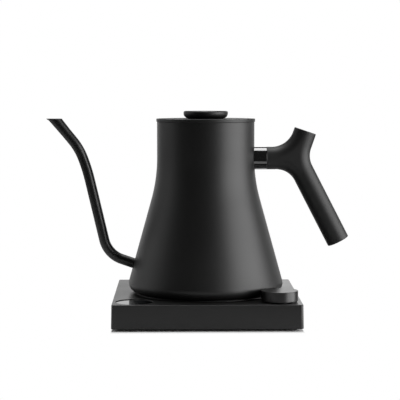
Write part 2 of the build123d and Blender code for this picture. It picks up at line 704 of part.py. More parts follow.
def base_wires():
    """Three leads to the tower's contacts, and one each to the dial's and the display's boards."""
    terminal_y, board_y = 59.9, 29.9
    far, near = RING_RADII[1], RING_RADII[0]
    routes = [
        [(3.5, terminal_y, 13.0), (3.5, 24, 13.0), (far, 12, 12.6), (far, 0.5, 12.2)],
        [(-3.5, terminal_y, 13.0), (-3.5, 24, 13.0), (0, 12, 12.6), (0, 0.5, 12.2)],
        [(-40, 41.9, 12.5), (-40, 14, 12.5), (-14, -12, 12.2), (near, -12, 12.2), (near, -0.5, 12.2)],
        [(24, board_y, 8.8), (24, 10, 8.8), (CORNER_X, -30, 8.0), (CORNER_X, CORNER_Y + 10.1, 7.8)],
        [(-48, board_y, 8.8), (-48, 10, 8.8), (-CORNER_X, -20, 13.0), (-CORNER_X, -36, 18.8),
         (-CORNER_X, CORNER_Y + 14.1, 18.8)],
    ]
    return [wire(points) for points in routes]


def heater_leads():
    """Leads from the heater's tabs and the cut-out to the connector, round its flange."""
    leads = []
    for side in (-1, 1):
        x, y = heater_end(HEATER_END_TURN)
        leads.append(wire([(x + 1.6, side * (y - 6.4), 33.4), (x - 2, side * (y - 9.5), 33.2),
                           (28.0, side * 4.5, 35.0), (25.2, side * 3.0, 38.2)], bend=1.8))
    return leads


# ---------------------------------------------------------------- the assembly
def build():
    outer_bar = spout_bar(SPOUT_R)
    inside = filled_wall(WALL)
    return {
        "base_housing": base_housing(),
        "base_cover": base_cover(),
        "base_foot": base_foot(),
        "base_screws": base_screws(),
        "base_tower": base_tower(),
        "tower_contacts": tower_contacts(),
        "tower_screws": tower_screws(),
        "display_lens": display_lens(),
        "display_panel": display_panel(),
        "display_board": display_board(),
        "encoder_body": encoder_body(),
        "encoder_board": encoder_board(),
        "encoder_plunger": encoder_plunger(),
        "encoder_shaft": encoder_shaft(),
        "dial_knob": dial_knob(),
        "power_board": power_board(),
        "power_relay": power_relay(),
        "step_down_transformer": step_down_transformer(),
        "filter_capacitor": filter_capacitor(),
        "mains_terminal": mains_terminal(),
        "cord_gland": cord_gland(),
        "hold_switch": hold_switch(),
        "hold_slider": hold_slider(),
        "base_wires": base_wires(),
        "vessel_socket": vessel_socket(),
        "socket_contacts": socket_contacts(),
        "vessel_shell": vessel_shell(outer_bar),
        "vessel_floor": vessel_floor(),
        "heat_spreader": heat_spreader(),
        "heater_tube": heater_tube(),
        "heater_terminals": heater_terminals(),
        "heater_leads": heater_leads(),
        "temperature_probe": temperature_probe(),
        "probe_seal": probe_seal(),
        "thermal_cutout": thermal_cutout(),
        "vessel_cover": vessel_cover(),
        "vessel_cover_screws": vessel_cover_screws(),
        "screw_brackets": screw_brackets(),
        "spout": outer_bar - spout_bar(SPOUT_BORE_R) - inside,
        "handle_collar": handle_collar(filled_wall(0)),
        "handle_tang": handle_tang(),
        "handle_grip": handle_grip(),
        "stub_cap": stub_cap(),
        "grip_cap": grip_cap(),
        "counterweight": counterweight(),
        "set_screw": set_screw(),
        "lid_plate": lid_plate(),
        "lid_core": lid_core(),
        "lid_gasket": lid_gasket(),
        "lid_knob": lid_knob(),
        "lid_screw": lid_screw(),
        "lid_washer": lid_washer(),
    }


os.makedirs("parts", exist_ok=True)
for name, shape in build().items():
    solids = shape if isinstance(shape, list) else [shape]
    whole = Compound(children=[s for item in solids for s in item.solids()])
    export_step(whole, f"parts/{name}.step")
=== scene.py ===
import math

import bmesh
import bpy
import numpy as np
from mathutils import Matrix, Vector


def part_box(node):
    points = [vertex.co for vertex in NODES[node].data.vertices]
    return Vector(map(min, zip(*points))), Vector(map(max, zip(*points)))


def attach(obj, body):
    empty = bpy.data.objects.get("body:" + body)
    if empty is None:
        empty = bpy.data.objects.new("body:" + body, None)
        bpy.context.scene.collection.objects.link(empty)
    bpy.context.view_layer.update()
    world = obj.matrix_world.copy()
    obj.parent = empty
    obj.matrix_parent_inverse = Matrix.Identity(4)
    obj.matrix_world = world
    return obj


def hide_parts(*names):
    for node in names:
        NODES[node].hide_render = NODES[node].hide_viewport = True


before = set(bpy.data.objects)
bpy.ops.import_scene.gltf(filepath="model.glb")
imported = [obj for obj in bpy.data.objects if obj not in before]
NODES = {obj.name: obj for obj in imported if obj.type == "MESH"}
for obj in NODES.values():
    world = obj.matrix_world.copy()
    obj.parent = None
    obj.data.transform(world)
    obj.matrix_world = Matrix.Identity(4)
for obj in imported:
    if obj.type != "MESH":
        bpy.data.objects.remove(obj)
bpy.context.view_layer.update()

# Lengths below are in millimetres, in the frame's own axes: +Z up, +X towards the handle.
MM = 0.001
QUARTER = math.pi / 2


def corners(node):
    """Lowest and highest corner of a CAD node, in millimetres."""
    low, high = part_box(node)
    return np.array(low) / MM, np.array(high) / MM


# ---------------------------------------------------------------- sizes of the visible pieces
HOUSING_LOW, HOUSING_HIGH = corners("base_housing")
SHELL_LOW, SHELL_HIGH = corners("vessel_shell")
LID_LOW, LID_HIGH = corners("lid_plate")
KNOB_LOW, KNOB_HIGH = corners("lid_knob")
DIAL_LOW, DIAL_HIGH = corners("dial_knob")
LENS_LOW, LENS_HIGH = corners("display_lens")
COLLAR_LOW, COLLAR_HIGH = corners("handle_collar")
GRIP_LOW = corners("handle_grip")[0]
TOWER_LOW, TOWER_HIGH = corners("base_tower")
SPOUT_HIGH = corners("spout")[1]
CORE_LOW, CORE_HIGH = corners("lid_core")
GASKET_LOW, GASKET_HIGH = corners("lid_gasket")
GLAND_LOW, GLAND_HIGH = corners("cord_gland")

BASE_TOP = HOUSING_HIGH[2]
HOUSING_HALF = HOUSING_HIGH[0]
DISPLAY_AT = (LENS_LOW[:2] + LENS_HIGH[:2]) / 2
DIAL_AT = (DIAL_LOW[:2] + DIAL_HIGH[:2]) / 2

WALL = 0.8
NECK_R = 46.6
CONE_LEAN = math.radians(15.46)
CONE_REF = (54.14, 106.6)
NECK_BEND_R = 151.0
FOOT_BEND_R = 8.5
SHELL_OPENING_R = 60.0

SPOUT_R = 4.9
SPOUT_BORE_R = 4.1
SPOUT_LINE = [(-133.2, 177.4), (-121.1, 162.6), (-113.5, 142.7), (-94.3, 60.6), (-60.0, 48.8)]
SPOUT_BENDS = [60.0, 170.0, 26.0]
LIP_LINE = [(0.0, 0.0), (19.6, 0.55), (26.0, 2.55)]
LIP_BEND_R = 6.0
TIP_SOFTENING = 0.2

HANDLE_R = 10.8
HUB = np.array([86.5, 153.2])
STUB_LEAN = math.radians(19.0)
GRIP_LEAN = math.radians(180 - 27.3)
STUB_LENGTH = 27.8
GRIP_LENGTH = 90.0


# ---------------------------------------------------------------- outlines
def softened(points, radii, closed=False, spacing=2.0, flank=0.12):
    """An outline whose corners are arcs tangent to both their sides. Each arc has a point at least every
    six degrees and every spacing, and a narrow straight flank at each end, so that its shading stays on it."""
    points = np.asarray(points, float)
    count = len(points)
    runs = []
    for i, radius in enumerate(radii):
        middle = points[i]
        if radius <= 0 or (not closed and i in (0, count - 1)):
            runs.append(middle[None])
            continue
        back = points[i - 1] - middle
        ahead = points[(i + 1) % count] - middle
        back /= np.linalg.norm(back)
        ahead /= np.linalg.norm(ahead)
        half = math.acos(np.clip(back @ ahead, -1, 1)) / 2
        tangent = radius / math.tan(half)
        centre = middle + (back + ahead) / np.linalg.norm(back + ahead) * radius / math.sin(half)
        turn = math.pi - 2 * half
        steps = max(math.ceil(turn / math.radians(6)), math.ceil(turn * radius / spacing), 2)
        share = np.linspace(0, 1, steps + 1)[:, None]
        start, end = middle + back * tangent - centre, middle + ahead * tangent - centre
        arc = centre + (start * np.sin((1 - share) * turn) + end * np.sin(share * turn)) / math.sin(turn)
        runs.append(np.vstack([arc[:1] + back * flank, arc, arc[-1:] + ahead * flank]))
    return np.vstack(runs)


# ---------------------------------------------------------------- meshes
def as_piece(name, mesh, crease=35.0):
    """Smooth-shaded object at the origin, with sharp edges where its faces meet at more than crease degrees."""
    mesh.polygons.foreach_set("use_smooth", np.ones(len(mesh.polygons), bool))
    mesh.set_sharp_from_angle(angle=math.radians(crease))
    piece = bpy.data.objects.new(name, mesh)
    bpy.context.scene.collection.objects.link(piece)
    return piece


def tidy_mesh(name, points, faces, inner=None):
    """A closed mesh: coincident points merged, faces turned outwards, millimetres made metres. Faces flagged
    by inner get the second material."""
    mesh = bpy.data.meshes.new(name)
    mesh.from_pydata((np.asarray(points) * MM).tolist(), [], faces)
    if inner is not None:
        mesh.polygons.foreach_set("material_index", np.asarray(inner, np.int32))
    work = bmesh.new()
    work.from_mesh(mesh)
    bmesh.ops.remove_doubles(work, verts=work.verts, dist=1e-3 * MM)
    bmesh.ops.dissolve_degenerate(work, edges=work.edges, dist=1e-4 * MM)
    bmesh.ops.recalc_face_normals(work, faces=work.faces)
    work.to_mesh(mesh)
    work.free()
    return mesh


def grid_faces(rows, columns, wrap_rows, wrap_columns):
    """Quads between neighbouring points of a rows by columns grid."""
    index = np.arange(rows * columns).reshape(rows, columns)
    if wrap_rows:
        index = np.vstack([index, index[:1]])
    if wrap_columns:
        index = np.hstack([index, index[:, :1]])
    return np.stack([index[:-1, :-1], index[:-1, 1:], index[1:, 1:], index[1:, :-1]], -1).reshape(-1, 4)


def turned_mesh(name, profile, centre=(0.0, 0.0, 0.0), axis="Z", count=128, inner_rows=None):
    """A closed profile of (radius, height) points carried round an axis through centre: the two cross
    directions are radius times the cosine and the sine of the turn, and the height runs along the axis."""
    profile = np.asarray(profile, float)
    turn = np.linspace(0, 2 * math.pi, count, endpoint=False)
    across = profile[:, :1] * np.cos(turn)
    aside = profile[:, :1] * np.sin(turn)
    along = np.repeat(profile[:, 1:], count, axis=1)
    order = {"X": (along, across, aside), "Y": (aside, along, across), "Z": (across, aside, along)}[axis]
    points = np.stack(order, -1).reshape(-1, 3) + np.asarray(centre, float)
    closed = profile[0, 0] > 0
    faces = grid_faces(len(profile), count, closed, True)
    inner = None
    if inner_rows is not None:
        row = np.arange(len(faces)) // count
        inner = (row >= inner_rows[0]) & (row < inner_rows[1])
    return tidy_mesh(name, points, faces.tolist(), inner)


def squared_mesh(name, profile, half, corner, arc_steps=10):
    """A profile of (inset, height) points carried round a rounded square: at each inset the straight sides move
    in by it and the corner's radius shrinks by it, down to a fifth of its share of what is left."""
    profile = np.asarray(profile, float)
    inset, height = profile[:, :1], profile[:, 1:]
    radius = np.maximum(corner - inset, 0.2 * corner * (half - inset) / half)
    reach = half - inset - radius
    turn = (np.arange(4)[:, None] + np.linspace(0, 1, arc_steps + 1)) * QUARTER
    sign_x = np.repeat([1, -1, -1, 1], arc_steps + 1)
    sign_y = np.repeat([1, 1, -1, -1], arc_steps + 1)
    x = sign_x * reach + np.cos(turn.ravel()) * radius
    y = sign_y * reach + np.sin(turn.ravel()) * radius
    points = np.stack([x, y, np.broadcast_to(height, x.shape)], -1).reshape(-1, 3)
    return tidy_mesh(name, points, grid_faces(len(profile), x.shape[1], True, True).tolist())


def cut(piece, *tools):
    """Takes the volume of each tool away from the piece, and removes the tools."""
    for tool in tools:
        step = piece.modifiers.new("cut", "BOOLEAN")
        step.operation = "DIFFERENCE"
        step.solver = "EXACT"
        step.object = tool
    bpy.context.view_layer.update()
    graph = bpy.context.evaluated_depsgraph_get()
    mesh = bpy.data.meshes.new_from_object(piece.evaluated_get(graph))
    piece.modifiers.clear()
    piece.data = mesh
    mesh.polygons.foreach_set("use_smooth", np.ones(len(mesh.polygons), bool))
    mesh.set_sharp_from_angle(angle=math.radians(35))
    for tool in tools:
        bpy.data.objects.remove(tool)
    return piece


def drill(radius, low, high, centre, axis="Z", count=64, countersink=0.0):
    """A cutting tool: a round bar between two heights along an axis, flared at its far end by the countersink."""
    profile = [(0, low), (radius, low)]
    if countersink:
        profile += [(radius, high - countersink), (radius + countersink, high), (radius + countersink, high + 1)]
        profile += [(0, high + 1)]
    else:
        profile += [(radius, high), (0, high)]
    return as_piece("tool", turned_mesh("tool", profile, centre, axis, count))


def finish_piece(piece, body, materials, node):
    """Puts the piece on its body in place of the CAD node, with its materials."""
    for material in materials:
        piece.data.materials.append(material)
    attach(piece, body)
    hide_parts(node)
    return piece


# ---------------------------------------------------------------- material tools
class Term:
    """A number that varies over a surface. Arithmetic on it adds Math nodes to its material."""

    def __init__(self, finish, socket):
        self.finish = finish
        self.socket = socket

    def maths(self, operation, *values):
        return self.finish.node("ShaderNodeMath", {"operation": operation}, dict(enumerate(values)))

    def __add__(self, other):
        return self.maths("ADD", self, other)

    def __radd__(self, other):
        return self.maths("ADD", other, self)

    def __sub__(self, other):
        return self.maths("SUBTRACT", self, other)

    def __rsub__(self, other):
        return self.maths("SUBTRACT", other, self)

    def __mul__(self, other):
        return self.maths("MULTIPLY", self, other)

    def __rmul__(self, other):
        return self.maths("MULTIPLY", other, self)


class Finish:
    """A procedural material. Its shader's constants are set as it is made, and node() adds any other node."""

    def __init__(self, name, **constants):
        self.material = bpy.data.materials.new(name)
        self.material.use_nodes = True
        self.tree = self.material.node_tree
        self.shader = self.tree.nodes["Principled BSDF"]
        for key, value in constants.items():
            self.shader.inputs[key.replace("_", " ")].default_value = value

    def node(self, kind, settings=None, sockets=None, output=0):
        """Adds a node: its settings first, with a ramp's stops as (place, colour) pairs, then its sockets."""
        made = self.tree.nodes.new(kind)
        for key, value in (settings or {}).items():
            if key == "stops":
                elements = made.color_ramp.elements
                while len(elements) < len(value):
                    elements.new(1.0)
                for element, (place, colour) in zip(elements, value):
                    element.position = place
                    element.color = colour
            else:
                setattr(made, key, value)
        for key, value in (sockets or {}).items():
            if isinstance(value, Term):
                self.tree.links.new(value.socket, made.inputs[key])
            else:
                made.inputs[key].default_value = value
        return Term(self, made.outputs[output])

    def feed(self, **terms):
        """Links varying terms to the shader's sockets."""
        for key, term in terms.items():
            self.tree.links.new(term.socket, self.shader.inputs[key.replace("_", " ")])
        return self.material

    def place(self):
        return self.node("ShaderNodeTexCoord", output=3)

    def noise(self, size, detail=2.0, stretch=None):
        """Cloudy noise, from 0 to 1, whose blotches are about size millimetres across."""
        where = self.place()
        if stretch:
            where = self.node("ShaderNodeMapping", sockets={0: where, 3: stretch})
        return self.node("ShaderNodeTexNoise",
                         sockets={"Vector": where, "Scale": 1 / (size * MM), "Detail": detail})

    def cells(self, size):
        """Distance to the nearest of scattered points about size millimetres apart, from 0 at a point."""
        return self.node("ShaderNodeTexVoronoi",
                         sockets={"Vector": self.place(), "Scale": 1 / (size * MM)})

    def blend(self, share, low, high):
        """A colour between two, by a share from 0 to 1."""
        return self.node("ShaderNodeMix", {"data_type": "RGBA"}, {0: share, 6: low, 7: high}, output=2)

    def bump(self, height, depth):
        """A normal from a height of 0 to 1, depth millimetres tall."""
        return self.node("ShaderNodeBump", sockets={"Strength": 1.0, "Distance": depth * MM, "Height": height})


def shade(level, warm=0.0):
    """A grey, slightly warm above 0 and slightly cool below."""
    return (level * (1 + warm), level, level * (1 - warm), 1.0)


# ---------------------------------------------------------------- finishes
def powder_coat(name, dark, light, roughness, peel=0.012):
    """Fine matte powder coat: a grain of about a third of a millimetre over a slow orange peel."""
    finish = Finish(name, Specular_IOR_Level=0.5)
    grain, peels, cloud = finish.noise(0.35, 3), finish.noise(1.6, 1), finish.noise(35, 2)
    speck = (grain - 0.5) * 0.5 + 0.5
    height = grain * 0.6 + peels * 0.4
    return finish.feed(Base_Color=finish.blend(speck * 0.6 + cloud * 0.4, shade(dark), shade(light)),
                       Roughness=(grain - 0.5) * 0.08 + (cloud - 0.5) * 0.05 + roughness,
                       Normal=finish.bump(height, peel))


def moulded_plastic(name, dark, light, roughness, grain_size=0.3):
    """Moulded plastic from a finely spark-eroded mould, with slow variation in its gloss."""
    finish = Finish(name, Specular_IOR_Level=0.5)
    pits, cloud = finish.cells(grain_size), finish.noise(28, 2)
    fine = finish.noise(grain_size * 0.6, 2)
    return finish.feed(Base_Color=finish.blend(fine * 0.5 + cloud * 0.5, shade(dark), shade(light)),
                       Roughness=(cloud - 0.5) * 0.07 + (fine - 0.5) * 0.06 + roughness,
                       Normal=finish.bump(pits * 0.5 + fine * 0.5, 0.01))


def gloss_lacquer():
    """Smooth black lacquer with the faintest waviness."""
    finish = Finish("gloss_lacquer", Specular_IOR_Level=1.0, Coat_Weight=0.7, Coat_Roughness=0.03)
    wave, cloud = finish.noise(6, 1), finish.noise(1.2, 2)
    return finish.feed(Base_Color=finish.blend(cloud, shade(0.004), shade(0.008)),
                       Roughness=(cloud - 0.5) * 0.04 + 0.1,
                       Normal=finish.bump(wave, 0.004))


def display_glass():
    """Polished black window with a slightly lighter live area behind it."""
    finish = Finish("display_glass", Specular_IOR_Level=0.5)
    smear = finish.noise(9, 3)
    place = finish.place()
    shift = (-DISPLAY_AT[0] * MM, -DISPLAY_AT[1] * MM, 0)
    centred = finish.node("ShaderNodeMapping", sockets={0: place, 1: shift})
    across = finish.node("ShaderNodeSeparateXYZ", sockets={0: centred}, output=0)
    deep = finish.node("ShaderNodeSeparateXYZ", sockets={0: centred}, output=1)
    wide = across.maths("COMPARE", across, 0.0, 0.0105)
    tall = deep.maths("COMPARE", deep, 0.0, 0.008)
    return finish.feed(Base_Color=finish.blend(wide * tall, shade(0.003), shade(0.009, -0.1)),
                       Roughness=smear * 0.03 + 0.03)


def brushed_steel(name, level, roughness):
    """Stainless steel with fine hairlines."""
    finish = Finish(name, Metallic=1.0)
    lines = finish.noise(0.25, 3, stretch=(1.0, 1.0, 0.04))
    cloud = finish.noise(18, 2)
    return finish.feed(Base_Color=finish.blend(lines * 0.5 + cloud * 0.5, shade(level * 0.86), shade(level, 0.01)),
                       Roughness=(lines - 0.5) * 0.16 + roughness,
                       Normal=finish.bump(lines, 0.004))


def plated_metal(name, dark, light, roughness):
    """Plated or machined metal, slightly mottled."""
    finish = Finish(name, Metallic=1.0)
    mottle, fine = finish.noise(2.2, 3), finish.noise(0.4, 2)
    return finish.feed(Base_Color=finish.blend(mottle, dark, light),
                       Roughness=(mottle - 0.5) * 0.12 + roughness,
                       Normal=finish.bump(fine, 0.005))


def rubber(name, dark, light, roughness=0.75):
    """Moulded rubber or silicone, dull, with a soft grain."""
    finish = Finish(name, Specular_IOR_Level=0.4)
    grain, cloud = finish.noise(0.5, 3), finish.noise(8, 2)
    return finish.feed(Base_Color=finish.blend(cloud, dark, light),
                       Roughness=(grain - 0.5) * 0.1 + roughness,
                       Normal=finish.bump(grain, 0.02))


def circuit_board():
    """Green solder mask over faint copper tracks."""
    finish = Finish("circuit_board", Specular_IOR_Level=0.5)
    place = finish.place()
    tracks = finish.node("ShaderNodeTexBrick", sockets={"Vector": place, "Scale": 220.0, "Mortar Size": 0.03},
                         output=1)
    cloud = finish.noise(3, 2)
    return finish.feed(Base_Color=finish.blend(tracks, (0.012, 0.10, 0.04, 1), (0.03, 0.2, 0.08, 1)),
                       Roughness=(cloud - 0.5) * 0.1 + 0.4,
                       Normal=finish.bump(tracks, 0.03))


def component_case(name, colour):
    """Glossy moulded case of an electrical component."""
    finish = Finish(name, Specular_IOR_Level=0.5)
    cloud, fine = finish.noise(5, 2), finish.noise(0.5, 2)
    darker = tuple(0.8 * part for part in colour[:3]) + (1.0,)
    return finish.feed(Base_Color=finish.blend(cloud, darker, colour),
                       Roughness=(fine - 0.5) * 0.1 + 0.35,
                       Normal=finish.bump(fine, 0.01))


def make_finishes():
    return {
        "body": powder_coat("body_powder_coat", 0.004, 0.006, 0.46),
        "lid": powder_coat("lid_powder_coat", 0.0035, 0.0055, 0.5),
        "knob": powder_coat("knob_powder_coat", 0.003, 0.005, 0.46),
        "spout": powder_coat("spout_powder_coat", 0.0035, 0.0055, 0.36, peel=0.005),
        "housing": moulded_plastic("housing_plastic", 0.0056, 0.0085, 0.34),
        "dial": moulded_plastic("dial_plastic", 0.007, 0.010, 0.34, grain_size=0.25),
        "handle": moulded_plastic("handle_plastic", 0.005, 0.007, 0.54, grain_size=0.35),
        "inner_plastic": moulded_plastic("inner_plastic", 0.014, 0.02, 0.5, grain_size=0.4),
        "white_plastic": moulded_plastic("white_nylon", 0.6, 0.72, 0.45, grain_size=0.4),
        "lacquer": gloss_lacquer(),
        "display": display_glass(),
        "steel": brushed_steel("stainless_steel", 0.62, 0.3),
        "zinc": plated_metal("zinc_plate", shade(0.5), shade(0.66, 0.02), 0.34),
        "black_steel": plated_metal("black_oxide", shade(0.02), shade(0.05), 0.45),
        "aluminium": plated_metal("cast_aluminium", shade(0.55), shade(0.72), 0.42),
        "brass": plated_metal("contact_brass", (0.62, 0.42, 0.16, 1), (0.78, 0.57, 0.26, 1), 0.25),
        "rubber": rubber("black_rubber", shade(0.014), shade(0.022)),
        "grey_silicone": rubber("grey_silicone", shade(0.16), shade(0.22), 0.6),
        "clear_silicone": rubber("pale_silicone", shade(0.6), shade(0.72, 0.02), 0.5),
        "board": circuit_board(),
        "blue": component_case("blue_case", (0.02, 0.10, 0.42, 1)),
        "yellow": component_case("yellow_tape", (0.72, 0.52, 0.10, 1)),
        "red": component_case("red_insulation", (0.5, 0.05, 0.04, 1)),
        "dark_case": component_case("dark_case", (0.03, 0.035, 0.035, 1)),
    }


CAD_FINISHES = {
    "inner_plastic": ["base_cover", "vessel_cover", "vessel_socket", "hold_switch", "hold_slider"],
    "rubber": ["base_foot"],
    "zinc": ["base_screws", "tower_screws", "encoder_body", "thermal_cutout"],
    "brass": ["tower_contacts", "socket_contacts"],
    "dark_case": ["display_panel"],
    "board": ["display_board", "encoder_board", "power_board"],
    "aluminium": ["encoder_shaft", "heat_spreader"],
    "white_plastic": ["encoder_plunger", "mains_terminal"],
    "blue": ["power_relay", "filter_capacitor"],
    "yellow": ["step_down_transformer"],
    "red": ["base_wires", "heater_leads"],
    "steel": ["vessel_floor", "heater_tube", "heater_terminals", "temperature_probe", "vessel_cover_screws",
              "screw_brackets", "handle_tang", "lid_screw", "lid_washer"],
    "clear_silicone": ["probe_seal"],
    "black_steel": ["counterweight", "set_screw"],
}


def dress_cad_nodes(finishes):
    for finish, nodes in CAD_FINISHES.items():
        for node in nodes:
            slots = NODES[node].data.materials
            slots.clear()
            slots.append(finishes[finish])


# ---------------------------------------------------------------- the heating base
def make_housing(finishes):
    """Casing of the base: side walls that lean in, softened edges, and its openings."""
    low, top, wall, display_seat = HOUSING_LOW[2], BASE_TOP, 2.2, 1.65
    draft = (top - low) * math.tan(math.radians(1.1))
    profile = [(0, low), (draft, top), (HOUSING_HALF, top), (HOUSING_HALF, top - wall),
               (draft + wall, top - wall), (wall, low)]
    outline = softened(profile, [0.35, 0.6, 0, 0, 0.5, 0.3], closed=True, flank=0.1)
    housing = as_piece("housing", squared_mesh("housing", outline, HOUSING_HALF, 3.0))
    tower_r, seat_r = 17.0, 24.0
    lens_r = (LENS_HIGH[0] - LENS_LOW[0]) / 2
    display = (*DISPLAY_AT, 0)
    dial = (*DIAL_AT, 0)
    gland_z = (GLAND_LOW[2] + GLAND_HIGH[2]) / 2
    return finish_piece(cut(
        housing,
        drill(seat_r, top - 0.6, top, (0, 0, 0), count=160, countersink=0.3),
        drill(tower_r, top - 4, top + 1, (0, 0, 0), count=96),
        drill(lens_r + 0.2, top - display_seat, top, display, count=128, countersink=0.18),
        drill(lens_r - 2.0, top - 4, top + 1, display, count=96),
        drill(4.8, top - 4, top + 1, dial),
        drill(5.65, 80, HOUSING_HALF + 2, (0, 0, gland_z), "Y"),
    ), "base", [finishes["housing"]], "base_housing")


def make_tower(finishes):
    """Connector tower: a slot for the centre pin and one for each contact ring, turned about the axis."""
    top, low, flange_r, tower_r, floor = TOWER_HIGH[2], TOWER_LOW[2], TOWER_HIGH[0], 16.6, 27.6
    flange_low, flange_top = low + 2.6, 22.08
    profile = [(2.9, floor), (2.9, top)]
    radii = [0.2, 0.4]
    for ring in (7.6, 12.0):
        profile += [(ring - 1.1, top), (ring - 1.1, floor), (ring + 1.1, floor), (ring + 1.1, top)]
        radii += [0.35, 0.2, 0.2, 0.35]
    profile += [(tower_r, top), (tower_r, flange_top), (flange_r, flange_top), (flange_r, flange_low),
                (tower_r, flange_low), (tower_r, low), (0, low), (0, floor)]
    radii += [1.2, 0, 0.3, 0.3, 0, 0.3, 0, 0]
    outline = softened(np.roll(profile, 1, axis=0), np.roll(radii, 1))
    tower = as_piece("connector_tower", turned_mesh("connector_tower", outline))
    return finish_piece(tower, "base", [finishes["inner_plastic"]], "base_tower")


def make_display(finishes):
    """Round window of the display, with a polished bevel round its edge."""
    radius, low, top = (LENS_HIGH[0] - LENS_LOW[0]) / 2, LENS_LOW[2], LENS_HIGH[2]
    profile = [(0, low), (radius, low), (radius, top), (0, top)]
    outline = softened(profile, [0, 0.1, 0.3, 0])
    lens = as_piece("display_window", turned_mesh("display_window", outline, (*DISPLAY_AT, 0), count=160))
    return finish_piece(lens, "base", [finishes["display"]], "display_lens")


def make_gland(finishes):
    """Rubber grommet of the cord outlet, with a flange outside the wall and one inside."""
    bore, waist, flange = 3.6, 5.6, 7.2
    inner_end, inner_face = GLAND_LOW[1], HOUSING_HALF - 3.1
    outer_face, outer_end = HOUSING_HALF + 0.05, GLAND_HIGH[1]
    profile = [(bore, inner_end), (flange, inner_end), (flange, inner_face), (waist, inner_face),
               (waist, outer_face), (flange, outer_face), (flange, outer_end), (bore, outer_end)]
    outline = softened(profile, [0.3, 0.4, 0.2, 0, 0, 0.3, 0.5, 0.5], closed=True, flank=0.05)
    centre = (0, 0, (GLAND_LOW[2] + GLAND_HIGH[2]) / 2)
    gland = as_piece("cord_grommet", turned_mesh("cord_grommet", outline, centre, "Y", 64))
    return finish_piece(gland, "base", [finishes["rubber"]], "cord_gland")


def make_dial(finishes):
    """Dial: a flat-topped disc with softened edges, hollow underneath round its hub."""
    radius, low, top = (DIAL_HIGH[0] - DIAL_LOW[0]) / 2, DIAL_LOW[2], DIAL_HIGH[2]
    skin, roof, hub, shaft = 2.0, top - 2.4, 5.4, 3.05
    profile = [(0, top), (radius, top), (radius, low), (radius - skin, low), (radius - skin, roof),
               (hub, roof), (hub, low), (shaft, low), (shaft, top - 3.7), (0, top - 3.7)]
    outline = softened(profile, [0, 0.4, 0.4, 0.2, 0.5, 0.4, 0.2, 0.1, 0, 0])
    dial = as_piece("dial", turned_mesh("dial", outline, (*DIAL_AT, 0), count=160))
    return finish_piece(dial, "dial", [finishes["dial"]], "dial_knob")


# ---------------------------------------------------------------- the kettle
def cone_radius(height, inset=0.0):
    """Radius of the kettle's straight cone at a height, taken in by inset."""
    return CONE_REF[0] + (CONE_REF[1] - height) * math.tan(CONE_LEAN) - inset / math.cos(CONE_LEAN)


def wall_corners(inset):
    """Corners of the wall's line from the mouth to the foot opening, taken in by inset, with their bends."""
    neck = NECK_R - inset
    low = SHELL_LOW[2] + inset
    bend_height = (cone_radius(0, inset) - neck) / math.tan(CONE_LEAN)
    points = [(neck, SHELL_HIGH[2]), (neck, bend_height), (cone_radius(low, inset), low), (SHELL_OPENING_R, low)]
    return points, [0.3, NECK_BEND_R + inset, FOOT_BEND_R - inset, 0.3]


def wall_radius(heights, inset):
    """Radius of the wall's line at each height."""
    points, bends = wall_corners(inset)
    line = softened(points, bends, spacing=0.5)[::-1]
    wide = line[np.argmax(line[:, 0]):]
    return np.interp(heights, wide[:, 1], wide[:, 0])


def make_shell(finishes):
    """Kettle's wall: its outer line down and its inner line back up, carried round the axis. Steel inside."""
    outer, outer_bends = wall_corners(0.0)
    inner, inner_bends = wall_corners(WALL)
    outline = softened(outer + inner[::-1], outer_bends + inner_bends[::-1], closed=True)
    coated = len(softened([inner[0], *outer, inner[-1]], [0, *outer_bends, 0])) - 2
    mesh = turned_mesh("kettle_body", outline, count=256, inner_rows=(coated, len(outline) - 1))
    body = as_piece("kettle_body", mesh)
    return finish_piece(body, "kettle", [finishes["body"], finishes["steel"]], "vessel_shell")


